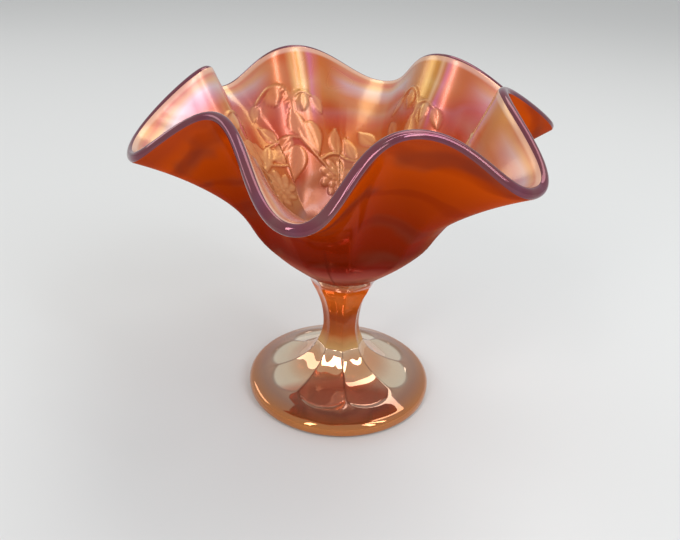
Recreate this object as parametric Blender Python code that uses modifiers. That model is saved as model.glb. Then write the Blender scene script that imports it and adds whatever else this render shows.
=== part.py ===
"""Ruffled carnival glass compote: a crimped bowl on a faceted stem and a round foot.

The compote is worked from four pieces of glass, joined hot: bowl, wafer, stem and foot.
Metres, +Z up. The origin is the centre of the flat face that the foot stands on.
"""

import math

import bmesh
import bpy
from mathutils import Matrix, Vector

MM = 0.001

# Overall sizes, in mm.
FOOT_RADIUS = 41.0
WALL = 4.0
JOINT_GAP = 0.3
FOOT_TOP = 22.0
WAFER_BOTTOM = 53.8

# Bowl, halfway through its wall: the pressed shape, as (radius, height).
BOWL_FLOOR = [(0.0, 57.4), (5.0, 57.4), (10.0, 57.6), (13.0, 58.4)]
BOWL_WALL = [(15.0, 59.5), (22.0, 65.0), (28.8, 71.0), (35.2, 78.0), (40.0, 86.0),
             (46.2, 95.0), (55.0, 106.0), (63.4, 116.5), (72.0, 127.0)]

# How far down the wall the crimping reaches: a lobe bends only the upper wall out and down, and a
# fold gathers it in from lower down. Each is a height in mm and how fast the move fades towards it.
LOBE_START, LOBE_FADE = 88.0, 1.55
FOLD_START, FOLD_FADE = 70.0, 1.1

# The centre line of the rim, half a wall inside its edge, as it was crimped by hand: azimuth in
# degrees, reach from the axis, height, and how broad the lobe or fold is. Lobes, which are low and
# reach out, alternate with raised folds.
RIM = [(-166, 82.0, 112.0, 28), (-136, 60.5, 132.0, 17),
       (-100, 87.0, 113.0, 14), (-73, 63.5, 134.5, 20),
       (-43, 81.5, 116.5, 17), (-10, 55.5, 137.0, 20),
       (18, 86.0, 117.0, 19), (48, 59.5, 139.0, 20),
       (79, 85.0, 118.5, 16), (115, 63.0, 138.0, 17),
       (138, 80.0, 119.0, 15), (160, 63.5, 134.0, 10)]
RIM_ROUNDING = 1.7

# Panels pressed into the wafer, stem and foot.
PANELS = 8
RIDGE_AZIMUTH = -83.0
STEM_HOLLOW = 0.10
WAFER_HOLLOW = 0.05
PANEL_END_RADIUS = 33.0

# Outsides along the panels' ridges, as (radius, height), from the top down.
WAFER_SIDE = [(20.0, 61.0), (17.6, 58.4), (15.4, 55.8), (14.3, WAFER_BOTTOM)]
STEM_SIDE = [(14.2, WAFER_BOTTOM - JOINT_GAP), (13.0, 50.5), (11.0, 46.5), (9.2, 41.5), (8.3, 37.0),
             (7.9, 32.5), (8.1, 29.0), (9.0, 25.5), (10.2, FOOT_TOP + JOINT_GAP)]
FOOT_DOME = [(10.3, FOOT_TOP), (12.4, 18.2), (16.0, 14.6), (21.5, 11.3), (28.0, 8.9),
             (34.0, 7.2), (38.0, 5.9)]
FOOT_EDGE_TOP = 3.4
FOOT_EDGE_BOTTOM = 1.4

BOWL_SIDES = 96
TURNED_SIDES = 48


def collection(name):
    made = bpy.data.collections.new(name)
    bpy.context.scene.collection.children.link(made)
    return made


def glass(name, colour, roughness, alpha):
    made = bpy.data.materials.new(name)
    made.use_nodes = True
    shader = made.node_tree.nodes["Principled BSDF"]
    shader.inputs["Base Color"].default_value = (*colour, 1.0)
    shader.inputs["Roughness"].default_value = roughness
    shader.inputs["Metallic"].default_value = 0.0
    shader.inputs["IOR"].default_value = 1.52
    shader.inputs["Transmission Weight"].default_value = 0.5
    shader.inputs["Alpha"].default_value = alpha
    return made


def smooth_through(points, steps):
    """Points of a smooth curve through the given ones, with steps to each span."""
    ends = [points[0], *points, points[-1]]
    curve = []
    for before, start, end, after in zip(ends, ends[1:], ends[2:], ends[3:]):
        for step in range(steps):
            t = step / steps
            curve.append(tuple(
                0.5 * (2 * b + (c - a) * t + (2 * a - 5 * b + 4 * c - d) * t * t
                       + (3 * b - a - 3 * c + d) * t ** 3)
                for a, b, c, d in zip(before, start, end, after)))
    curve.append(points[-1])
    return curve


def moved_out(profile, distance):
    """The profile of a wall, moved sideways to the wall's outer, lower side."""
    moved = []
    for index, point in enumerate(profile):
        before = profile[max(index - 1, 0)]
        after = profile[min(index + 1, len(profile) - 1)]
        along = Vector((after[0] - before[0], after[1] - before[1])).normalized()
        radius = point[0] + along.y * distance
        moved.append((max(radius, 0.0), point[1] - along.x * distance))
    moved[0] = (0.0, moved[0][1])
    return moved


def turned(profile, sides, start_azimuth=0.0):
    """A bmesh of the profile, in mm, turned once round the Z axis."""
    made = bmesh.new()
    corners = [made.verts.new((radius * MM, 0.0, height * MM)) for radius, height in profile]
    edges = [made.edges.new(pair) for pair in zip(corners, corners[1:])]
    bmesh.ops.rotate(made, verts=corners, cent=(0, 0, 0),
                     matrix=Matrix.Rotation(math.radians(start_azimuth), 3, "Z"))
    bmesh.ops.spin(made, geom=corners + edges, cent=(0, 0, 0), axis=(0, 0, 1),
                   angle=math.tau, steps=sides, use_merge=True)
    bmesh.ops.remove_doubles(made, verts=made.verts, dist=0.01 * MM)
    bmesh.ops.recalc_face_normals(made, faces=made.faces)
    return made


def add_object(name, made, material, home):
    mesh = bpy.data.meshes.new(name)
    made.to_mesh(mesh)
    made.free()
    mesh.materials.append(material)
    mesh.shade_smooth()
    mesh.set_sharp_from_angle(angle=math.radians(32))
    thing = bpy.data.objects.new(name, mesh)
    home.objects.link(thing)
    return thing


def rim_curve(steps=24):
    """The rim's centre line: (azimuth in radians, radius, height) all the way round, in order."""
    points = []
    tangents = []
    for azimuth, reach, height, breadth in RIM:
        turn = math.radians(azimuth)
        points.append(Vector((reach * math.cos(turn), reach * math.sin(turn), height)))
        tangents.append(Vector((-math.sin(turn), math.cos(turn), 0.0)) * breadth)
    curve = []
    for index, start in enumerate(points):
        end = points[(index + 1) % len(points)]
        start_handle = start + tangents[index]
        end_handle = end - tangents[(index + 1) % len(points)]
        for step in range(steps):
            t = step / steps
            at = (start * (1 - t) ** 3 + start_handle * 3 * t * (1 - t) ** 2
                  + end_handle * 3 * t * t * (1 - t) + end * t ** 3)
            curve.append((math.atan2(at.y, at.x), math.hypot(at.x, at.y), at.z))
    return sorted(curve)


def rim_at(curve, azimuth):
    """The rim's radius and height at an azimuth."""
    before = curve[-1]
    before = (before[0] - math.tau, before[1], before[2])
    for after in [*curve, (curve[0][0] + math.tau, curve[0][1], curve[0][2])]:
        if after[0] >= azimuth:
            share = (azimuth - before[0]) / max(after[0] - before[0], 1e-9)
            return (before[1] + share * (after[1] - before[1]),
                    before[2] + share * (after[2] - before[2]))
        before = after
    return before[1], before[2]


def bowl_profile():
    """The pressed bowl's profile halfway through its wall, from its floor's centre to the rim's edge."""
    below = Vector(BOWL_WALL[-2])
    rim = Vector(BOWL_WALL[-1])
    edge = rim + (rim - below).normalized() * WALL / 2
    return BOWL_FLOOR + BOWL_WALL + [tuple(edge)]


def crimped(height, start, fade):
    """The share of the rim's move that a point of the pressed wall takes."""
    return max((height - start) / (BOWL_WALL[-1][1] - start), 0.0) ** fade


def ruffle(made):
    """Crimps the pressed bowl: the rim takes its lobes and folds, which fade out down the wall."""
    curve = rim_curve()
    rim_radius, rim_height = BOWL_WALL[-1]
    for vert in made.verts:
        radius = math.hypot(vert.co.x, vert.co.y) / MM
        height = vert.co.z / MM
        bent = crimped(height, LOBE_START, LOBE_FADE)
        gathered = crimped(height, FOLD_START, FOLD_FADE)
        azimuth = math.atan2(vert.co.y, vert.co.x)
        reach, top = rim_at(curve, azimuth)
        spread = reach - rim_radius
        lift = top - rim_height
        radius += spread * (bent if spread > 0.0 else gathered)
        height += lift * (bent if lift < 0.0 else gathered)
        vert.co = (radius * MM * math.cos(azimuth), radius * MM * math.sin(azimuth), height * MM)


def panelled(made, hollow):
    """Presses the panels into a turned piece. hollow(radius) is how deep, as a share of the radius."""
    for vert in made.verts:
        radius = math.hypot(vert.co.x, vert.co.y)
        turn = math.degrees(math.atan2(vert.co.y, vert.co.x)) - RIDGE_AZIMUTH
        across = (turn * PANELS / 360.0) % 1.0 - 0.5
        depth = hollow(radius / MM) * math.cos(math.pi * across)
        vert.co.x *= 1.0 - depth
        vert.co.y *= 1.0 - depth


def make_bowl(home):
    made = turned(bowl_profile(), BOWL_SIDES)
    ruffle(made)
    bowl = add_object("bowl", made, glass("marigold_glass", (0.62, 0.16, 0.03), 0.12, 0.9), home)
    wall = bowl.modifiers.new("wall", "SOLIDIFY")
    wall.thickness = WALL * MM
    wall.offset = 0.0
    rounding = bowl.modifiers.new("fire_polished_rim", "BEVEL")
    rounding.width = RIM_ROUNDING * MM
    rounding.segments = 2
    rounding.limit_method = "ANGLE"
    rounding.angle_limit = math.radians(60)
    return bowl


def make_wafer(home, guides):
    """The disc of hot glass that holds the bowl: it is pressed up round the bowl's floor."""
    top = WAFER_SIDE[0][1]
    outline = [(0.0, top)] + smooth_through(WAFER_SIDE, 2) + [(0.0, WAFER_BOTTOM)]
    made = turned(outline, TURNED_SIDES, RIDGE_AZIMUTH)
    panelled(made, lambda radius: WAFER_HOLLOW)
    wafer = add_object("wafer", made, glass("joint_glass", (0.45, 0.16, 0.09), 0.1, 0.85), home)
    seat = moved_out(bowl_profile(), WALL / 2 + JOINT_GAP)
    seat = [point for point in seat if point[1] < top + WALL]
    seat.append((0.0, seat[-1][1]))
    cutter = add_object("bowl_seat", turned(seat, TURNED_SIDES, RIDGE_AZIMUTH),
                        wafer.data.materials[0], guides)
    cutter.hide_render = True
    cutter.display_type = "WIRE"
    cut = wafer.modifiers.new("bowl_seat", "BOOLEAN")
    cut.operation = "DIFFERENCE"
    cut.object = cutter
    return wafer


def make_stem(home):
    side = smooth_through(STEM_SIDE, 2)
    outline = [(0.0, side[0][1])] + side + [(0.0, side[-1][1])]
    made = turned(outline, TURNED_SIDES, RIDGE_AZIMUTH)
    panelled(made, lambda radius: STEM_HOLLOW)
    return add_object("stem", made, glass("amber_glass", (0.72, 0.26, 0.03), 0.06, 0.7), home)


def make_foot(home):
    """The pressed foot: eight hollow panels run down its dome and end short of a plain rim."""
    edge_height = FOOT_DOME[-1][1] - FOOT_EDGE_TOP
    side = smooth_through(FOOT_DOME, 2)
    for step in range(1, 5):
        turn = math.radians(20 + 70 * step / 4)
        side.append((FOOT_RADIUS - FOOT_EDGE_TOP * (1 - math.sin(turn)),
                     edge_height + FOOT_EDGE_TOP * math.cos(turn)))
    for step in range(4):
        turn = math.radians(90 * step / 3)
        side.append((FOOT_RADIUS - FOOT_EDGE_BOTTOM * (1 - math.cos(turn)),
                     FOOT_EDGE_BOTTOM * (1 - math.sin(turn))))
    outline = [(0.0, FOOT_TOP)] + side + [(0.0, 0.0)]
    made = turned(outline, TURNED_SIDES, RIDGE_AZIMUTH)

    def hollow(radius):
        fade = (PANEL_END_RADIUS - radius) / (PANEL_END_RADIUS - FOOT_DOME[0][0])
        return STEM_HOLLOW * min(max(fade * 1.6, 0.0), 1.0)

    panelled(made, hollow)
    flatten_base(made)
    return add_object("foot", made, glass("pale_glass", (0.80, 0.58, 0.38), 0.05, 0.5), home)


def flatten_base(made):
    """Merges the base's fan into one flat face."""
    base = [face for face in made.faces if all(abs(vert.co.z) < 0.01 * MM for vert in face.verts)]
    bmesh.ops.dissolve_faces(made, faces=base, use_verts=True)


def build():
    for thing in list(bpy.data.objects):
        bpy.data.objects.remove(thing, do_unlink=True)
    compote = collection("carnival_glass_compote")
    guides = collection("cutters")
    make_bowl(compote)
    make_wafer(compote, guides)
    make_stem(compote)
    make_foot(compote)


build()
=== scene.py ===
"""Ruffled carnival glass compote on a pale studio floor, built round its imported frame."""

import math

import bmesh
import bpy
import numpy as np
from mathutils import Matrix, Vector


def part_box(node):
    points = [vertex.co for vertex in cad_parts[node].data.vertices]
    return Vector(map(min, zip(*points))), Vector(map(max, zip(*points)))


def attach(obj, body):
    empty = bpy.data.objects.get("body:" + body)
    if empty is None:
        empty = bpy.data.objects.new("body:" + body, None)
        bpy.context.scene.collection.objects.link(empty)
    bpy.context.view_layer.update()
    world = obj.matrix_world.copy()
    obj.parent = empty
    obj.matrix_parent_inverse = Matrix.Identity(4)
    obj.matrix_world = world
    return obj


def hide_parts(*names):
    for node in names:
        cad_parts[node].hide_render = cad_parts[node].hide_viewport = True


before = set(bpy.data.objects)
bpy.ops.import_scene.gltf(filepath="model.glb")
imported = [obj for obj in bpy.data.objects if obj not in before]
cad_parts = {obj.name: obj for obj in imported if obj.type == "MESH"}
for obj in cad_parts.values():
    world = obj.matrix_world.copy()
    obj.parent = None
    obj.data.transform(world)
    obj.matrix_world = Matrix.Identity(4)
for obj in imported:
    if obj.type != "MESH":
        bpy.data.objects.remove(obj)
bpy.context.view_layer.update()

# ---------------------------------------------------------------- bowl
# The bowl is pressed in a mould with a spray of leaves and blossom under each fold, then crimped by
# hand into six lobes and six folds while it is soft. Its rim is fire-polished round. A marigold spray
# of metal salts gives it a lustre: orange outside, pink and gold inside.

MM = 0.001
WALL = 4.0
RIM_CROWN = 1.9
BOWL_COLUMNS = 480
BOWL_LINE = [(0.0, 57.4), (5.0, 57.4), (10.0, 57.6), (13.0, 58.4), (15.0, 59.5), (22.0, 65.0),
             (28.8, 71.0), (35.2, 78.0), (40.0, 86.0), (46.2, 95.0), (55.0, 106.0), (63.4, 116.5),
             (72.0, 127.0)]
LOBE_START, LOBE_FADE = 88.0, 1.55
FOLD_START, FOLD_FADE = 70.0, 1.1
# Azimuth in degrees, reach and height in mm, and breadth, of each lobe and fold of the rim.
RIM = [(-166, 82.0, 112.0, 28), (-136, 60.5, 132.0, 17),
       (-100, 87.0, 113.0, 14), (-73, 63.5, 134.5, 20),
       (-43, 81.5, 116.5, 17), (-10, 55.5, 137.0, 20),
       (18, 86.0, 117.0, 19), (48, 59.5, 139.0, 20),
       (79, 85.0, 118.5, 16), (115, 63.0, 138.0, 17),
       (138, 80.0, 119.0, 15), (160, 63.5, 134.0, 10)]
FOLDS = [lobe[0] for lobe in RIM[1::2]]


def smooth_through(points, steps):
    """A smooth curve through the points, as an array, with steps to each span."""
    ends = np.array([points[0], *points, points[-1]], float)
    curve = []
    for a, b, c, d in zip(ends, ends[1:], ends[2:], ends[3:]):
        for t in np.arange(steps) / steps:
            curve.append(0.5 * (2 * b + (c - a) * t + (2 * a - 5 * b + 4 * c - d) * t * t
                                + (3 * b - a - 3 * c + d) * t ** 3))
    return np.array([*curve, ends[-1]])


def walked(curve):
    """How far along a curve each of its points lies."""
    return np.concatenate([[0.0], np.cumsum(np.linalg.norm(np.diff(curve, axis=0), axis=1))])


def rim_curve():
    """The rim's centre line as three arrays: azimuth in order, radius and height."""
    rim = np.array(RIM, float)
    turn = np.radians(rim[:, 0])
    at = np.stack([rim[:, 1] * np.cos(turn), rim[:, 1] * np.sin(turn), rim[:, 2]], 1)
    pull = np.stack([-np.sin(turn), np.cos(turn), 0 * turn], 1) * rim[:, 3:4]
    t = np.linspace(0, 1, 60, endpoint=False)[:, None]
    curve = []
    for index in range(len(rim)):
        after = (index + 1) % len(rim)
        curve.append(at[index] * (1 - t) ** 3 + (at[index] + pull[index]) * 3 * t * (1 - t) ** 2
                     + (at[after] - pull[after]) * 3 * t * t * (1 - t) + at[after] * t ** 3)
    curve = np.concatenate(curve)
    azimuth = np.arctan2(curve[:, 1], curve[:, 0])
    order = np.argsort(azimuth)
    return azimuth[order], np.hypot(curve[:, 0], curve[:, 1])[order], curve[order, 2]


bowl_line = smooth_through(BOWL_LINE, 12)
bowl_walk = walked(bowl_line)
wall_length = bowl_walk[-1]
rim_azimuth, rim_reach, rim_height = rim_curve()


def mid_wall(azimuth, along):
    """Points halfway through the crimped wall. along is 0 at the floor's centre and 1 at the rim."""
    radius = np.interp(along * wall_length, bowl_walk, bowl_line[:, 0])
    height = np.interp(along * wall_length, bowl_walk, bowl_line[:, 1])
    over = np.where(along > 1, (along - 1) * wall_length, 0.0)
    lean = bowl_line[-1] - bowl_line[-3]
    lean /= np.linalg.norm(lean)
    radius = radius + over * lean[0]
    height = height + over * lean[1]
    rim_radius, rim_top = BOWL_LINE[-1]
    bent = np.clip((height - LOBE_START) / (rim_top - LOBE_START), 0, None) ** LOBE_FADE
    gathered = np.clip((height - FOLD_START) / (rim_top - FOLD_START), 0, None) ** FOLD_FADE
    spread = np.interp(azimuth, rim_azimuth, rim_reach, period=math.tau) - rim_radius
    lift = np.interp(azimuth, rim_azimuth, rim_height, period=math.tau) - rim_top
    radius = radius + spread * np.where(spread > 0, bent, gathered)
    height = height + lift * np.where(lift < 0, bent, gathered)
    return np.stack([radius * np.cos(azimuth), radius * np.sin(azimuth), height], -1)


def wall_frame(azimuth, along):
    """At points of the wall: the middle of the wall, the way inwards through it, the way up it."""
    step = 0.004
    middle = mid_wall(azimuth, along)
    round_it = mid_wall(azimuth + step, along) - mid_wall(azimuth - step, along)
    up = mid_wall(azimuth, along + step) - mid_wall(azimuth, np.maximum(along - step, 0))
    up /= np.linalg.norm(up, axis=-1, keepdims=True)
    inwards = np.cross(up, round_it)
    size = np.linalg.norm(inwards, axis=-1, keepdims=True)
    inwards = np.where(size > 1e-9, inwards / np.maximum(size, 1e-9), [0.0, 0.0, 1.0])
    return middle, inwards, up


def leaf(x, y, base, toward, length, width, height):
    """The relief of one plump pointed leaf with a sunk midrib, on the flat plan x, y in mm."""
    turn = math.radians(toward)
    along_leaf = ((x - base[0]) * math.cos(turn) + (y - base[1]) * math.sin(turn)) / length
    across = (y - base[1]) * math.cos(turn) - (x - base[0]) * math.sin(turn)
    across = across + 0.12 * length * along_leaf * (1 - along_leaf)
    within = np.clip(along_leaf, 0, 1)
    half = 0.5 * width * np.sin(math.pi * within ** 0.72) ** (0.7 + 0.55 * within)
    inside = 1 - np.abs(across) / np.maximum(half, 1e-6)
    on = (along_leaf > 0) & (along_leaf < 1) & (inside > 0)
    plump = np.sqrt(np.clip(1 - (1 - inside) ** 2.6, 0, 1))
    veins = 0.04 * np.cos(2 * math.pi * (along_leaf * length / 1.9 - np.abs(across) / 2.6))
    rib = 0.45 * np.exp(-(across / 0.5) ** 2) * (1 - within)
    return np.where(on, 0.58 * height * (plump * (1 + veins) - rib * plump), 0.0)


def twig(x, y, points, thick, height):
    """The relief of a round twig along a smooth line through the points."""
    line = smooth_through(points, 10)
    nearest = np.full(x.shape, 1e9)
    for a, b in zip(line, line[1:]):
        side = b - a
        t = np.clip(((x - a[0]) * side[0] + (y - a[1]) * side[1]) / (side @ side), 0, 1)
        nearest = np.minimum(nearest, np.hypot(x - a[0] - t * side[0], y - a[1] - t * side[1]))
    return height * np.sqrt(np.clip(1 - (2 * nearest / thick) ** 2, 0, 1))


def blossom(x, y, centre, size, height):
    """The relief of a ruffled blossom: two turns of overlapping petals round a button."""
    far = np.hypot(x - centre[0], y - centre[1]) / (size / 2)
    turn = np.arctan2(y - centre[1], x - centre[0])
    relief = np.zeros(x.shape)
    for reach, petals, lift, twist in ((1.0, 9, 0.6, 0.0), (0.68, 7, 0.85, 0.5), (0.38, 5, 1.0, 1.1)):
        wave = np.abs(np.cos(0.5 * petals * (turn + twist + 0.25 * far)))
        edge = reach * (0.68 + 0.32 * wave)
        cup = np.clip((edge - far) / 0.16, 0, 1) ** 0.5
        ruffle = 0.62 + 0.38 * wave + 0.10 * np.cos(3 * petals * turn) * np.clip(far / reach, 0, 1)
        lip = 0.65 + 0.35 * np.clip(far / reach, 0, 1) ** 2
        relief = np.maximum(relief, np.where(far < edge, 0.6 * height * lift * cup * ruffle * lip, 0.0))
    return relief


def spray(x, y):
    """One pressed spray: leaves round a twig, an arch of buds above and a blossom low beside it."""
    pieces = [
        twig(x, y, [(-10, 51), (-4, 57), (3.5, 66.5), (5, 75), (5.2, 84)], 1.5, 0.6),
        twig(x, y, [(3.5, 66.5), (10, 69), (17, 68.5), (24, 66)], 1.2, 0.5),
        twig(x, y, [(5.2, 84), (8.5, 89.5), (13, 91.5), (17, 89)], 1.4, 0.6),
        twig(x, y, [(5.2, 84), (0.5, 86), (-4, 84)], 1.4, 0.6),
        twig(x, y, [(-4, 57), (-12, 60), (-22, 58), (-29, 61)], 1.2, 0.5),
        leaf(x, y, (2.6, 67.5), 74, 13.5, 7.0, 0.9),
        leaf(x, y, (0.5, 73), -107, 15, 10.5, 1.0),
        leaf(x, y, (6.0, 64), -76, 15, 9.5, 1.0),
        leaf(x, y, (7.0, 67), -24, 14, 8.0, 0.9),
        leaf(x, y, (19, 68), -58, 13, 7.5, 0.9),
        leaf(x, y, (24, 67), 28, 12, 6.5, 0.8),
        leaf(x, y, (13, 69.5), 52, 12, 6.0, 0.8),
        leaf(x, y, (12, 91), -98, 9, 5.5, 0.8),
        leaf(x, y, (17.5, 89), -62, 9, 5.0, 0.7),
        leaf(x, y, (0.0, 85), -84, 8, 5.0, 0.8),
        leaf(x, y, (-4.5, 84), -118, 9, 5.5, 0.8),
        leaf(x, y, (-13, 60), 96, 12, 7.0, 0.8),
        leaf(x, y, (-22, 59), 72, 11, 6.5, 0.7),
        leaf(x, y, (-25, 59), -70, 10, 6.0, 0.7),
        blossom(x, y, (-11.5, 49), 18, 1.1),
        blossom(x, y, (5.2, 84.5), 6, 0.9),
    ]
    return np.maximum.reduce(pieces)


def pressed_relief(azimuth, along):
    """How far the pressed flowers stand out of the inside of the wall, in mm."""
    walk = along * wall_length
    girth = np.maximum(np.interp(walk, bowl_walk, bowl_line[:, 0]), 16.0)
    relief = np.zeros(azimuth.shape)
    for fold in FOLDS:
        away = (azimuth - math.radians(fold) + math.pi) % math.tau - math.pi
        x = away * girth
        near = (np.abs(x) < 38) & (walk > 30)
        relief[near] = np.maximum(relief[near], spray(x[near], walk[near]))
    return relief


def relief_outline(azimuth, along):
    """How steep the relief is, from 0 to 1: it marks the edges and the veins of the leaves."""
    girth = np.maximum(np.interp(along * wall_length, bowl_walk, bowl_line[:, 0]), 16.0)
    step = 0.35
    turn = step / girth
    rise = step / wall_length
    round_it = pressed_relief(azimuth + turn, along) - pressed_relief(azimuth - turn, along)
    up_it = pressed_relief(azimuth, along + rise) - pressed_relief(azimuth, along - rise)
    return np.clip(np.hypot(round_it, up_it) / 0.9, 0, 1)


def fold_phase(azimuth):
    """Counts round the ruffle: even in the middle of each lobe and odd in the middle of each fold."""
    last = (RIM[0][0] + 360.0, *RIM[0][1:])
    turns = []
    for here, there in zip(RIM, RIM[1:] + [last]):
        share = here[3] / (here[3] + there[3])
        turns += [here[0], here[0] + (there[0] - here[0]) * share]
    anchors = np.radians(turns + [last[0]])
    turn = (azimuth - anchors[0]) % math.tau
    return np.interp(turn, anchors - anchors[0], 0.5 * np.arange(len(anchors)))


def spun(rows, columns, facts, start_azimuth=0.0):
    """Turns a profile once round the Z axis. Each row is (x, z, values of the named facts)."""
    bm = bmesh.new()
    layers = [bm.verts.layers.float.new(name) for name in facts]
    corners = []
    for x, z, *values in rows:
        corner = bm.verts.new((x * MM, 0.0, z * MM))
        for layer, value in zip(layers, values):
            corner[layer] = value
        corners.append(corner)
    edges = [bm.edges.new(pair) for pair in zip(corners, corners[1:])]
    bmesh.ops.rotate(bm, verts=corners, cent=(0, 0, 0),
                     matrix=Matrix.Rotation(math.radians(start_azimuth), 3, "Z"))
    bmesh.ops.spin(bm, geom=corners + edges, cent=(0, 0, 0), axis=(0, 0, 1),
                   angle=math.tau, steps=columns, use_merge=True)
    bmesh.ops.remove_doubles(bm, verts=bm.verts, dist=0.002 * MM)
    bmesh.ops.recalc_face_normals(bm, faces=bm.faces)
    return bm


def piece_of(name, bm, *materials):
    mesh = bpy.data.meshes.new(name)
    bm.to_mesh(mesh)
    bm.free()
    for material in materials:
        mesh.materials.append(material)
    mesh.shade_smooth()
    thing = bpy.data.objects.new(name, mesh)
    bpy.context.scene.collection.objects.link(thing)
    return thing


def bowl_rows():
    """The bowl's section: up the outside, round the rim and down the inside, finest at the flowers."""
    half = WALL / 2
    places = [(along, -half, 0.0) for along in np.linspace(0, 1, 36)]
    for turn in np.radians(np.arange(15, 180, 15)):
        places.append((1.0, -half * math.cos(turn), RIM_CROWN * math.sin(turn)))
    down = np.concatenate([np.linspace(1, 0.94, 6), np.linspace(0.935, 0.38, 120), np.linspace(0.36, 0, 18)])
    places += [(along, half, 0.0) for along in down]
    along = np.array([place[0] for place in places])
    middle, inwards, up = wall_frame(np.zeros(len(along)), along)
    rows = []
    for (share, through, beyond), at, aside, rise in zip(places, middle, inwards, up):
        point = at + aside * through + rise * beyond
        rows.append((point[0] if share > 0.0 else 0.0, point[2], share, through, beyond))
    return rows


# What each point of the bowl carries for its material: its share of the way up the wall, its place
# through the wall and beyond the rim in mm, how far it stands out as a leaf, how steep the pattern or
# the mould seam is there, and its place on the ruffle as the cosine and sine of its phase.
BOWL_FACTS = ("along", "through", "beyond", "leafy", "outline", "gather", "aside")
SEAM_AZIMUTH = -100.0
SEAM_BREADTH = 0.9
SEAM_HEIGHT = 0.22
SEAM_BOTTOM, SEAM_TOP = 0.16, 0.55
LEAFY_RELIEF = 0.45
RIM_STARTS = 0.3
SURFACE_SLACK = 0.01


def make_bowl(outside, inside, rim):
    """The crimped shell, with its flowers and mould seam, in three glasses: two sides and a rim."""
    bm = spun(bowl_rows(), BOWL_COLUMNS, BOWL_FACTS)
    layers = [bm.verts.layers.float[name] for name in BOWL_FACTS]
    verts = list(bm.verts)
    along, through, beyond = np.array([[v[layer] for layer in layers[:3]] for v in verts]).T
    at = np.array([v.co for v in verts])
    azimuth = np.arctan2(at[:, 1], at[:, 0])
    middle, inwards, up = wall_frame(azimuth, along)
    inner = (through > WALL / 2 - SURFACE_SLACK) & (beyond == 0)
    outer = (through < SURFACE_SLACK - WALL / 2) & (beyond == 0)
    relief = np.where(inner, pressed_relief(azimuth, along), 0.0)
    outline = np.where(inner, relief_outline(azimuth, along), 0.0)
    from_seam = np.degrees(azimuth) - SEAM_AZIMUTH
    fading = np.clip((SEAM_TOP - along) / 0.15, 0, 1) * np.clip((along - SEAM_BOTTOM) / 0.04, 0, 1)
    seam = np.where(outer, np.exp(-(from_seam / SEAM_BREADTH) ** 2) * fading, 0.0)
    outline = np.maximum(outline, seam)
    moved = through + relief - SEAM_HEIGHT * seam
    placed = middle + inwards * moved[:, None] + up * beyond[:, None]
    placed[along <= 0, :2] = 0.0
    phase = fold_phase(azimuth) * math.pi
    facts = np.stack([np.clip(relief / LEAFY_RELIEF, 0, 1), outline, -np.cos(phase), -np.sin(phase)], 1)
    for vert, point, values in zip(verts, placed * MM, facts):
        vert.co = point
        for layer, value in zip(layers[3:], values):
            vert[layer] = value
    side, over = layers[1:3]
    for face in bm.faces:
        is_inside = sum(vert[side] for vert in face.verts) > 0
        is_rim = sum(vert[over] for vert in face.verts) > RIM_STARTS * len(face.verts)
        face.material_index = 2 if is_rim else int(is_inside)
    return piece_of("bowl_glass_shell", bm, outside, inside, rim)


def tint(red, green, blue):
    """A colour as it looks, each part from 0 to 255, made linear for a shader."""
    return tuple(((part / 255 + 0.055) / 1.055) ** 2.4 for part in (red, green, blue))


def socket(tree, kind, value_type, name, default=None):
    made = tree.interface.new_socket(name, in_out=kind, socket_type=value_type)
    if default is not None:
        made.default_value = default
    return made


def ramp(tree, source, stops):
    """A colour ramp fed by a value. Each stop is a place and a linear colour."""
    node = tree.nodes.new("ShaderNodeValToRGB")
    bar = node.color_ramp
    while len(bar.elements) < len(stops):
        bar.elements.new(0.5)
    for element, (place, colour) in zip(bar.elements, stops):
        element.position = place
        element.color = (*colour, 1.0)
    tree.links.new(source, node.inputs["Fac"])
    return node.outputs["Color"]


def maths(tree, operation, a, b=0.0, clamp=False):
    node = tree.nodes.new("ShaderNodeMath")
    node.operation = operation
    node.use_clamp = clamp
    for slot, value in zip(node.inputs, (a, b)):
        if isinstance(value, (int, float)):
            slot.default_value = value
        else:
            tree.links.new(value, slot)
    return node.outputs[0]


def blended(tree, share, under, over):
    """Mixes two colours by a share."""
    node = tree.nodes.new("ShaderNodeMix")
    node.data_type = "RGBA"
    for slot, value in ((node.inputs[0], share), (node.inputs[6], under), (node.inputs[7], over)):
        if isinstance(value, tuple):
            slot.default_value = (*value, 1.0)
        elif isinstance(value, (int, float)):
            slot.default_value = value
        else:
            tree.links.new(value, slot)
    return node.outputs[2]


def noise(tree, where, scale, detail=2.0, distortion=0.0):
    node = tree.nodes.new("ShaderNodeTexNoise")
    node.inputs["Scale"].default_value = scale
    node.inputs["Detail"].default_value = detail
    node.inputs["Distortion"].default_value = distortion
    tree.links.new(where, node.inputs["Vector"])
    return node.outputs["Fac"]


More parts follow.
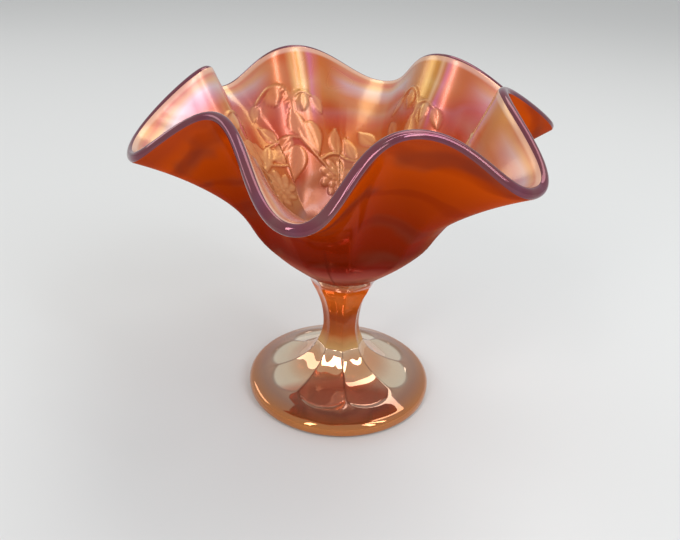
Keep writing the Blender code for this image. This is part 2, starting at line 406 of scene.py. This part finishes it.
def carnival_lustre():
    """The sprayed lustre: its colour by how thick the film lies, its patches and the glass's ripple."""
    group = bpy.data.node_groups.new("carnival_lustre", "ShaderNodeTree")
    socket(group, "INPUT", "NodeSocketVector", "Place")
    socket(group, "INPUT", "NodeSocketFloat", "Film", 0.0)
    socket(group, "INPUT", "NodeSocketFloat", "Wander", 0.5)
    socket(group, "OUTPUT", "NodeSocketColor", "Colour")
    socket(group, "OUTPUT", "NodeSocketFloat", "Patches")
    socket(group, "OUTPUT", "NodeSocketFloat", "Drift")
    socket(group, "OUTPUT", "NodeSocketFloat", "Ripple")
    given = group.nodes.new("NodeGroupInput")
    result = group.nodes.new("NodeGroupOutput")
    place = given.outputs["Place"]
    drift = maths(group, "SUBTRACT", noise(group, place, 24.0, 1.5, 0.5), 0.5)
    wander = maths(group, "MULTIPLY", drift, given.outputs["Wander"])
    film = maths(group, "FRACT", maths(group, "ADD", maths(group, "ADD", given.outputs["Film"], wander), 4.0))
    colour = ramp(group, film, [
        (0.00, tint(214, 164, 104)), (0.14, tint(222, 190, 140)), (0.28, tint(212, 118, 66)),
        (0.44, tint(198, 78, 64)), (0.58, tint(206, 104, 128)), (0.70, tint(190, 150, 176)),
        (0.82, tint(196, 120, 96)), (1.00, tint(214, 164, 104))])
    group.links.new(colour, result.inputs["Colour"])
    group.links.new(noise(group, place, 34.0, 2.0, 0.8), result.inputs["Patches"])
    group.links.new(drift, result.inputs["Drift"])
    group.links.new(noise(group, place, 90.0, 1.0), result.inputs["Ripple"])
    return group


lustre = carnival_lustre()


def glass_material(name, transmission, metallic, coat, film_nm):
    """A clear glass shader with a thin iridescent film. Its patterns are linked by each piece."""
    made = bpy.data.materials.new(name)
    made.use_nodes = True
    tree = made.node_tree
    shader = tree.nodes["Principled BSDF"]
    shader.inputs["IOR"].default_value = 1.52
    shader.inputs["Transmission Weight"].default_value = transmission
    shader.inputs["Metallic"].default_value = metallic
    shader.inputs["Coat Weight"].default_value = coat
    shader.inputs["Coat Roughness"].default_value = 0.03
    shader.inputs["Thin Film Thickness"].default_value = film_nm
    shader.inputs["Thin Film IOR"].default_value = 1.63
    return made, tree, shader


def object_place(tree):
    return tree.nodes.new("ShaderNodeTexCoord").outputs["Object"]


def attribute(tree, name):
    node = tree.nodes.new("ShaderNodeAttribute")
    node.attribute_name = name
    return node.outputs["Fac"]


def rising(tree, value, low, high, most=1.0):
    """A smooth step of a value: 0 up to low, and most from high on."""
    node = tree.nodes.new("ShaderNodeMapRange")
    node.interpolation_type = "SMOOTHSTEP"
    node.inputs["From Min"].default_value = low
    node.inputs["From Max"].default_value = high
    node.inputs["To Max"].default_value = most
    tree.links.new(value, node.inputs["Value"])
    return node.outputs["Result"]


def lustre_in(tree, film, wander):
    node = tree.nodes.new("ShaderNodeGroup")
    node.node_tree = lustre
    node.inputs["Wander"].default_value = wander
    tree.links.new(object_place(tree), node.inputs["Place"])
    tree.links.new(film, node.inputs["Film"])
    return node.outputs


def ripple_normal(tree, shader, height, distance):
    bump = tree.nodes.new("ShaderNodeBump")
    bump.inputs["Strength"].default_value = 0.35
    bump.inputs["Distance"].default_value = distance
    tree.links.new(height, bump.inputs["Height"])
    tree.links.new(bump.outputs["Normal"], shader.inputs["Normal"])


def inner_lustre_and_painted_light(tree, facts, sprayed):
    """The inside: rose at the floor, gold and pink streaks up the folds and bands along the lobes.

    The pale cream in the streaks and a blue-white band under the rim are painted highlights. On the left
    the bands carry a painted highlight and cover the folds too.
    """
    wandering = maths(tree, "ADD", facts["along"], maths(tree, "MULTIPLY", sprayed["Drift"], 0.22))
    ground = ramp(tree, wandering, [
        (0.00, tint(92, 38, 34)), (0.30, tint(120, 44, 36)), (0.46, tint(158, 52, 34)),
        (0.60, tint(184, 66, 22)), (0.72, tint(190, 74, 8)), (0.82, tint(180, 54, 8)),
        (0.92, tint(206, 92, 38)), (1.00, tint(200, 90, 48))])
    upper = rising(tree, facts["along"], 0.66, 0.82)
    across = maths(tree, "ADD", maths(tree, "MULTIPLY", facts["aside"], 0.5),
                   maths(tree, "ADD", maths(tree, "MULTIPLY", sprayed["Drift"], 0.16), 0.5))
    # Streaks up the folds: gold and pink lustre, with painted highlights in the pale cream and cream-gold
    # stops.
    streaks = ramp(tree, across, [
        (0.00, tint(176, 58, 16)), (0.14, tint(194, 74, 26)), (0.24, tint(210, 100, 108)),
        (0.32, tint(212, 108, 168)), (0.39, tint(196, 120, 90)), (0.46, tint(238, 204, 164)),
        (0.53, tint(196, 144, 74)), (0.60, tint(176, 120, 48)), (0.69, tint(226, 170, 104)),
        (0.80, tint(198, 80, 28)), (1.00, tint(182, 64, 22))])
    # Painted highlight on the left of the bowl, from 44 mm towards -X outwards: the pale bands spread over
    # the folds there.
    parts = tree.nodes.new("ShaderNodeSeparateXYZ")
    tree.links.new(object_place(tree), parts.inputs[0])
    left_painted_highlight = rising(tree, maths(tree, "MULTIPLY", parts.outputs["X"], -1.0), 0.044, 0.060)
    golden = maths(tree, "MULTIPLY", upper, maths(tree, "SUBTRACT", 1.0, left_painted_highlight))
    in_fold = maths(tree, "MULTIPLY", rising(tree, facts["gather"], -0.1, 0.7, 0.85), golden)
    colour = blended(tree, in_fold, ground, streaks)
    # Bands along the lobes: lustre, with a painted blue-white highlight band at 0.93 of the way up.
    banded = maths(tree, "ADD", facts["along"], maths(tree, "MULTIPLY", sprayed["Drift"], 0.10))
    bands = ramp(tree, banded, [
        (0.66, tint(194, 78, 56)), (0.74, tint(200, 84, 56)), (0.80, tint(216, 150, 104)),
        (0.86, tint(206, 92, 98)), (0.90, tint(202, 158, 200)), (0.93, tint(204, 210, 244)),
        (0.955, tint(220, 184, 166)), (0.975, tint(204, 104, 128)), (1.00, tint(216, 160, 134))])
    on_lobe = maths(tree, "MULTIPLY", facts["gather"], -1.0)
    on_lobe = maths(tree, "MAXIMUM", rising(tree, on_lobe, -0.5, 0.4, 0.55),
                    maths(tree, "MULTIPLY", left_painted_highlight, 0.85))
    on_lobe = maths(tree, "MULTIPLY", on_lobe, upper)
    colour = blended(tree, on_lobe, colour, bands)
    colour = blended(tree, 0.24, colour, sprayed["Colour"])
    colour = blended(tree, maths(tree, "MULTIPLY", facts["leafy"], 0.52), colour, tint(234, 170, 120))
    # Painted shade: darker red along the steep edges and veins of the leaves.
    colour = blended(tree, maths(tree, "MULTIPLY", facts["outline"], 0.55), colour, tint(150, 50, 26))
    return blended(tree, rising(tree, facts["along"], 0.980, 0.992, 0.7), colour, tint(236, 190, 172))


def outer_lustre_and_painted_light(tree, facts, sprayed):
    """The outside: deep orange, dark red lower down as painted shade and mauve at the wafer as a painted
    reflection, with smoky bands.
    """
    wandering = maths(tree, "ADD", facts["along"], maths(tree, "MULTIPLY", sprayed["Drift"], 0.20))
    # Darker red lower down is painted shade. The mauve up to 0.31 of the way up, palest at 0.24, is a painted
    # reflection.
    colour = ramp(tree, wandering, [
        (0.00, tint(150, 66, 46)), (0.20, tint(150, 62, 46)), (0.24, tint(192, 116, 98)),
        (0.31, tint(168, 80, 72)), (0.37, tint(134, 36, 24)), (0.43, tint(118, 28, 0)),
        (0.52, tint(140, 34, 0)), (0.66, tint(158, 46, 0)), (0.84, tint(184, 64, 0)),
        (0.95, tint(208, 78, 4)), (1.00, tint(180, 66, 24))])
    swaying = maths(tree, "ADD", maths(tree, "MULTIPLY", facts["along"], 34.0),
                    maths(tree, "MULTIPLY", sprayed["Drift"], 16.0))
    wave = maths(tree, "SINE", swaying)
    smoke = maths(tree, "MULTIPLY", rising(tree, wave, -0.4, 1.0, 0.6),
                  rising(tree, sprayed["Patches"], 0.42, 0.62))
    colour = blended(tree, smoke, colour, tint(122, 58, 44))
    streak = maths(tree, "MULTIPLY", rising(tree, wave, 0.55, 1.0, 0.3),
                   rising(tree, facts["along"], 0.4, 0.6))
    colour = blended(tree, streak, colour, tint(128, 24, 4))
    # Painted shade: a dark line along the mould seam, which is the only outline on the outside.
    return blended(tree, maths(tree, "MULTIPLY", facts["outline"], 0.5), colour, tint(84, 18, 6))


def bowl_material(name, colours_of, metallic, film_nm, roughness, coat, specular, sheen):
    """One side of the bowl, in its lustre colours with painted shade, highlights and reflections.
    sheen tints its reflections.
    """
    made, tree, shader = glass_material(name, 0.06, metallic, coat, film_nm)
    shader.inputs["Specular IOR Level"].default_value = specular
    shader.inputs["Specular Tint"].default_value = (*sheen, 1.0)
    facts = {fact: attribute(tree, fact) for fact in BOWL_FACTS}
    sprayed = lustre_in(tree, maths(tree, "MULTIPLY", facts["along"], 2.2), 1.6)
    tree.links.new(colours_of(tree, facts, sprayed), shader.inputs["Base Color"])
    rough = maths(tree, "ADD", roughness, maths(tree, "MULTIPLY", sprayed["Drift"], 0.08))
    tree.links.new(rough, shader.inputs["Roughness"])
    ripple_normal(tree, shader, sprayed["Ripple"], 0.0008)
    return made


def rim_material():
    """The smoky mauve of the fire-polished rim, which shines almost like metal."""
    made, tree, shader = glass_material("smoky_fire_polished_rim", 0.06, 0.5, 0.4, 0.0)
    shader.inputs["Specular IOR Level"].default_value = 0.1
    shader.inputs["Roughness"].default_value = 0.04
    sprayed = lustre_in(tree, attribute(tree, "aside"), 1.6)
    share = maths(tree, "MULTIPLY", sprayed["Patches"], 0.1)
    tree.links.new(blended(tree, share, tint(112, 54, 70), sprayed["Colour"]), shader.inputs["Base Color"])
    ripple_normal(tree, shader, sprayed["Ripple"], 0.0008)
    return made


outside_glass = bowl_material("marigold_glass_outside", outer_lustre_and_painted_light, 0.2, 0.0, 0.16, 0.03, 0.0,
                              (1.0, 0.42, 0.14))
inside_glass = bowl_material("marigold_lustre_inside", inner_lustre_and_painted_light, 0.12, 300.0, 0.26, 0.18, 0.22,
                             (1.0, 1.0, 1.0))
bowl = make_bowl(outside_glass, inside_glass, rim_material())
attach(bowl, "root")
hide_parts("bowl")

# ---------------------------------------------------------------- wafer
# The wafer is a gather of hot glass dropped on the stem and pressed up round the bowl's floor, which
# fixes the bowl. Pinching gives it eight faint sides in line with the panels of the stem.

PANELS = 8
RIDGE_AZIMUTH = -83.0
PEDESTAL_COLUMNS = 320
JOINT_OVERLAP = 0.25
wafer_low, wafer_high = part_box("wafer")
wafer_bottom = wafer_low[2] / MM
wafer_top = wafer_high[2] / MM


def across_panel(azimuth):
    """Where an azimuth lies on its panel: 0 in the middle, -0.5 and 0.5 on the ridges."""
    return ((np.degrees(azimuth) - RIDGE_AZIMUTH) * PANELS / 360.0) % 1.0 - 0.5


def outer_wall(along):
    """The uncrimped bowl's outside as (radius, height), at a share of the way up its wall."""
    middle, inwards, up = wall_frame(np.array([0.0]), np.array([along]))
    point = middle[0] - inwards[0] * WALL / 2
    return point[0], point[2]


def make_wafer(material):
    side = smooth_through([(14.25, wafer_bottom - JOINT_OVERLAP), (15.0, 55.4), (16.6, 57.6),
                           (18.9, 60.1), (19.7, 61.0)], 8)
    rows = [(0.0, wafer_bottom - JOINT_OVERLAP)] + [tuple(point) for point in side]
    lip = 0.5
    for turn in np.radians([30, 60, 90, 120, 150]):
        rows.append((side[-1][0] - lip * (1 - math.cos(turn)), side[-1][1] + lip * math.sin(turn)))
    for along in np.linspace(0.215, 0.0, 16):
        radius, height = outer_wall(along)
        rows.append((max(radius, 0.0) if along else 0.0, height + JOINT_OVERLAP))
    bm = spun([(x, z, 1.0 if index <= len(side) + 4 else 0.0) for index, (x, z) in enumerate(rows)],
              PEDESTAL_COLUMNS, ("outside",), RIDGE_AZIMUTH)
    outside = bm.verts.layers.float["outside"]
    for vert in bm.verts:
        if vert[outside] > 0.5:
            depth = 0.045 * math.cos(math.pi * float(across_panel(math.atan2(vert.co.y, vert.co.x))))
            vert.co.x *= 1.0 - depth
            vert.co.y *= 1.0 - depth
    return piece_of("wafer_glass_joint", bm, material)


def share_of_height(tree, low, high):
    """How high a point lies between two heights in mm, from 0 to 1."""
    parts = tree.nodes.new("ShaderNodeSeparateXYZ")
    tree.links.new(object_place(tree), parts.inputs[0])
    above = maths(tree, "SUBTRACT", parts.outputs["Z"], low * MM)
    return maths(tree, "DIVIDE", above, (high - low) * MM, clamp=True)


def wafer_material():
    made, tree, shader = glass_material("joint_carnival_glass", 0.2, 0.12, 0.5, 265.0)
    up = share_of_height(tree, wafer_bottom, wafer_top)
    sprayed = lustre_in(tree, noise(tree, object_place(tree), 40.0), 0.8)
    # The pale stop at 0.82 of the wafer's height is a painted highlight along its lip.
    body = ramp(tree, up, [(0.0, tint(222, 92, 10)), (0.35, tint(196, 84, 26)), (0.65, tint(160, 62, 30)),
                           (0.82, tint(216, 140, 104)), (0.93, tint(120, 44, 26)), (1.0, tint(110, 36, 22))])
    tree.links.new(blended(tree, 0.15, body, sprayed["Colour"]), shader.inputs["Base Color"])
    rough = maths(tree, "ADD", 0.06, maths(tree, "MULTIPLY", sprayed["Patches"], 0.06))
    tree.links.new(rough, shader.inputs["Roughness"])
    ripple_normal(tree, shader, sprayed["Ripple"], 0.0006)
    return made


wafer = make_wafer(wafer_material())
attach(wafer, "root")
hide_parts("wafer")

# ---------------------------------------------------------------- stem
# The stem is solid glass, waisted, with eight hollow panels between crisp ridges. The lustre is thick
# where it meets the bowl, so it is bright orange there, and thins to amber at the knuckle.

STEM_SIDE = [(14.2, 53.5), (13.0, 50.5), (11.0, 46.5), (9.2, 41.5), (8.3, 37.0), (7.9, 32.5),
             (8.1, 29.0), (9.0, 25.5), (10.2, 22.3)]
STEM_HOLLOW = 0.10
stem_low, stem_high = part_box("stem")
stem_bottom = stem_low[2] / MM
stem_top = stem_high[2] / MM


def hollow_panels(bm, hollow):
    """Presses eight hollow panels into a turned piece. hollow(radius, height) is a share of radius."""
    for vert in bm.verts:
        radius = math.hypot(vert.co.x, vert.co.y)
        across = float(across_panel(math.atan2(vert.co.y, vert.co.x)))
        depth = hollow(radius / MM, vert.co.z / MM) * math.cos(math.pi * across)
        vert.co.x *= 1.0 - depth
        vert.co.y *= 1.0 - depth


def make_stem(material):
    side = smooth_through(STEM_SIDE, 9)
    side[-1, 1] = stem_bottom - 0.3
    rows = [(0.0, stem_top)] + [tuple(point) for point in side]
    rows += [(side[-1][0] - 0.1, side[-1][1] - JOINT_OVERLAP), (0.0, side[-1][1] - JOINT_OVERLAP)]
    bm = spun(rows, PEDESTAL_COLUMNS, (), RIDGE_AZIMUTH)
    hollow_panels(bm, lambda radius, height: STEM_HOLLOW)
    return piece_of("stem_faceted_glass", bm, material)


def stem_material():
    made, tree, shader = glass_material("amber_carnival_glass", 0.45, 0.2, 0.1, 0.0)
    shader.inputs["Specular IOR Level"].default_value = 0.3
    shader.inputs["Specular Tint"].default_value = (1.0, 0.7, 0.4, 1.0)
    up = share_of_height(tree, stem_bottom, stem_top)
    sprayed = lustre_in(tree, maths(tree, "MULTIPLY", up, 1.5), 0.6)
    body = ramp(tree, up, [(0.0, tint(240, 190, 120)), (0.2, tint(196, 96, 34)), (0.5, tint(184, 78, 8)),
                           (0.8, tint(255, 118, 0)), (1.0, tint(255, 116, 0))])
    share = maths(tree, "MULTIPLY", sprayed["Patches"], 0.15)
    tree.links.new(blended(tree, share, body, sprayed["Colour"]), shader.inputs["Base Color"])
    rough = maths(tree, "ADD", 0.02, maths(tree, "MULTIPLY", sprayed["Patches"], 0.04))
    tree.links.new(rough, shader.inputs["Roughness"])
    ripple_normal(tree, shader, sprayed["Ripple"], 0.0004)
    return made


stem = make_stem(stem_material())
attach(stem, "root")
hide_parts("stem")

# ---------------------------------------------------------------- foot
# The foot is pressed, nearly clear glass. The stem's panels run on down its dome as eight petals with
# round ends, inside a plain ring with a rounded edge. Its underside is ground flat to stand on.

FOOT_DOME = [(10.3, 22.0), (12.4, 18.2), (16.0, 14.6), (21.5, 11.3), (28.0, 8.9), (34.0, 7.2),
             (38.0, 5.9)]
FOOT_EDGE_TOP = 3.4
FOOT_EDGE_BOTTOM = 1.4
PETAL_END = 33.0
foot_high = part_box("foot")[1]
foot_radius = foot_high[0] / MM
foot_top = foot_high[2] / MM


def make_foot(material):
    side = [tuple(point) for point in smooth_through(FOOT_DOME, 10)]
    edge_height = FOOT_DOME[-1][1] - FOOT_EDGE_TOP
    for turn in np.radians(np.linspace(24, 90, 9)):
        side.append((foot_radius - FOOT_EDGE_TOP * (1 - math.sin(turn)),
                     edge_height + FOOT_EDGE_TOP * math.cos(turn)))
    for turn in np.radians(np.linspace(0, 90, 7)):
        side.append((foot_radius - FOOT_EDGE_BOTTOM * (1 - math.cos(turn)),
                     FOOT_EDGE_BOTTOM * (1 - math.sin(turn))))
    rows = [(0.0, foot_top)] + side + [(0.0, 0.0)]
    bm = spun(rows, PEDESTAL_COLUMNS, ("petal", "ridge"), RIDGE_AZIMUTH)
    petal, ridge = (bm.verts.layers.float[name] for name in ("petal", "ridge"))
    for vert in bm.verts:
        radius = math.hypot(vert.co.x, vert.co.y) / MM
        height = vert.co.z / MM
        if height < FOOT_EDGE_BOTTOM or radius < 1.0:
            continue
        across = float(across_panel(math.atan2(vert.co.y, vert.co.x)))
        bulge = math.cos(math.pi * across)
        end = PETAL_END - 5.0 * (1.0 - bulge ** 0.5)
        within = min(max((end - radius) / 2.2, 0.0), 1.0)
        within = within * within * (3 - 2 * within)
        narrow = min(max((radius - 10.0) / 8.0, 0.0), 1.0)
        depth = (1 - narrow) * STEM_HOLLOW * bulge
        vert.co.x *= 1.0 - depth
        vert.co.y *= 1.0 - depth
        vert.co.z -= within * narrow * bulge * 0.85 * MM
        vert[petal] = within
        between = max(0.0, 1.0 - (0.5 - abs(across)) / 0.04) * min(max((PETAL_END - radius) / 6, 0), 1)
        vert[ridge] = max(between, 3.0 * within * (1.0 - within) * narrow)
    return piece_of("foot_petalled_glass", bm, material)


def foot_material():
    made, tree, shader = glass_material("pale_carnival_glass", 0.55, 0.5, 0.5, 130.0)
    place = object_place(tree)
    reach = tree.nodes.new("ShaderNodeVectorMath")
    reach.operation = "LENGTH"
    tree.links.new(place, reach.inputs[0])
    outwards = maths(tree, "DIVIDE", reach.outputs["Value"], foot_radius * MM)
    sprayed = lustre_in(tree, maths(tree, "MULTIPLY", outwards, 1.4), 0.7)
    ring = ramp(tree, outwards, [(0.70, tint(214, 168, 142)), (0.86, tint(178, 128, 106)),
                                 (0.95, tint(196, 128, 78)), (1.00, tint(216, 132, 54))])
    dome = ramp(tree, outwards, [(0.40, tint(226, 126, 56)), (0.52, tint(240, 176, 120)),
                                 (0.64, tint(255, 232, 196)), (0.80, tint(255, 240, 214))])
    # Painted reflection of the bowl's orange underside: the front of the dome, towards -Y, turns red-orange.
    parts = tree.nodes.new("ShaderNodeSeparateXYZ")
    tree.links.new(place, parts.inputs[0])
    forward = maths(tree, "DIVIDE", parts.outputs["Y"], -foot_radius * MM)
    dome = blended(tree, rising(tree, forward, 0.36, 0.52, 0.7), dome, tint(214, 84, 30))
    body = blended(tree, attribute(tree, "petal"), ring, dome)
    # Painted shade: dark lines along the ridges between the petals and round their ends.
    body = blended(tree, maths(tree, "MULTIPLY", attribute(tree, "ridge"), 0.7), body, tint(112, 56, 36))
    share = maths(tree, "MULTIPLY", sprayed["Patches"], 0.2)
    tree.links.new(blended(tree, share, body, sprayed["Colour"]), shader.inputs["Base Color"])
    rough = maths(tree, "ADD", 0.02, maths(tree, "MULTIPLY", sprayed["Patches"], 0.03))
    tree.links.new(rough, shader.inputs["Roughness"])
    ripple_normal(tree, shader, sprayed["Ripple"], 0.0003)
    return made


foot = make_foot(foot_material())
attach(foot, "root")
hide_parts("foot")

# ---------------------------------------------------------------- floor, light and camera
# A plain pale floor runs on past the view. Soft boxes stand in for windows on both sides in front and
# on the left behind, with a large one overhead, and a pale room lights the glass from all round.

FLOOR_GAP = 0.0004
FLOOR_HALF = 4.0
LAMP_DISTANCE = 1.2
bm = bmesh.new()
bmesh.ops.create_grid(bm, x_segments=1, y_segments=1, size=FLOOR_HALF)
bmesh.ops.translate(bm, verts=bm.verts, vec=(0.0, 0.0, -FLOOR_GAP))
pale = bpy.data.materials.new("pale_floor")
pale.use_nodes = True
pale_shader = pale.node_tree.nodes["Principled BSDF"]
pale_shader.inputs["Base Color"].default_value = (*tint(218, 217, 214), 1.0)
pale_shader.inputs["Roughness"].default_value = 0.55
floor = piece_of("floor", bm, pale)


def soft_box(name, place, target, size, power, colour=(1.0, 1.0, 1.0)):
    lamp = bpy.data.lights.new(name, "AREA")
    lamp.shape = "RECTANGLE"
    lamp.size, lamp.size_y = size
    lamp.energy = power
    lamp.color = colour
    thing = bpy.data.objects.new(name, lamp)
    thing.location = place
    aim = Vector(target) - Vector(place)
    thing.rotation_euler = aim.to_track_quat("-Z", "Y").to_euler()
    bpy.context.scene.collection.objects.link(thing)


def window(name, azimuth, elevation, size, power, colour=(1.0, 1.0, 1.0)):
    """A soft box that faces the bowl from the direction given in degrees."""
    turn, up = math.radians(azimuth), math.radians(elevation)
    centre = Vector((0.0, 0.0, 0.09))
    away = Vector((math.cos(up) * math.cos(turn), math.cos(up) * math.sin(turn), math.sin(up)))
    soft_box(name, centre + away * LAMP_DISTANCE, centre, size, power, colour)


window("window_left", -124.0, 34.0, (0.16, 0.7), 3.2)
window("window_right", -47.0, 36.0, (0.16, 0.7), 3.0, (0.80, 0.90, 1.0))
window("window_far_right", -30.0, 45.0, (0.12, 0.8), 2.4, (0.88, 0.94, 1.0))
window("window_behind_left", 158.0, 24.0, (0.7, 0.3), 1.5, (0.96, 0.96, 1.0))
window("overhead", 50.0, 62.0, (0.9, 0.6), 4.5)

world = bpy.data.worlds.new("pale_room")
world.use_nodes = True
world.node_tree.nodes["Background"].inputs["Color"].default_value = (0.80, 0.82, 0.84, 1.0)
world.node_tree.nodes["Background"].inputs["Strength"].default_value = 0.75
bpy.context.scene.world = world
bpy.context.scene.view_settings.view_transform = "Standard"

CAMERA_DISTANCE = 0.26179
CAMERA_HEIGHT = 0.19195
CAMERA_ASIDE = -0.0015
LOOKING_DOWN = 27.26
CAMERA_ROLL = 2.55
lens = bpy.data.cameras.new("camera")
lens.sensor_width = 36.0
lens.lens = 36.33
lens.clip_start = 0.01
camera = bpy.data.objects.new("camera", lens)
tilt = Matrix.Rotation(math.radians(90.0 - LOOKING_DOWN), 4, "X")
roll = Matrix.Rotation(math.radians(CAMERA_ROLL), 4, "Z")
stand = Matrix.Translation((CAMERA_ASIDE, -CAMERA_DISTANCE, CAMERA_HEIGHT))
camera.matrix_world = stand @ tilt @ roll
bpy.context.scene.collection.objects.link(camera)
bpy.context.scene.camera = camera
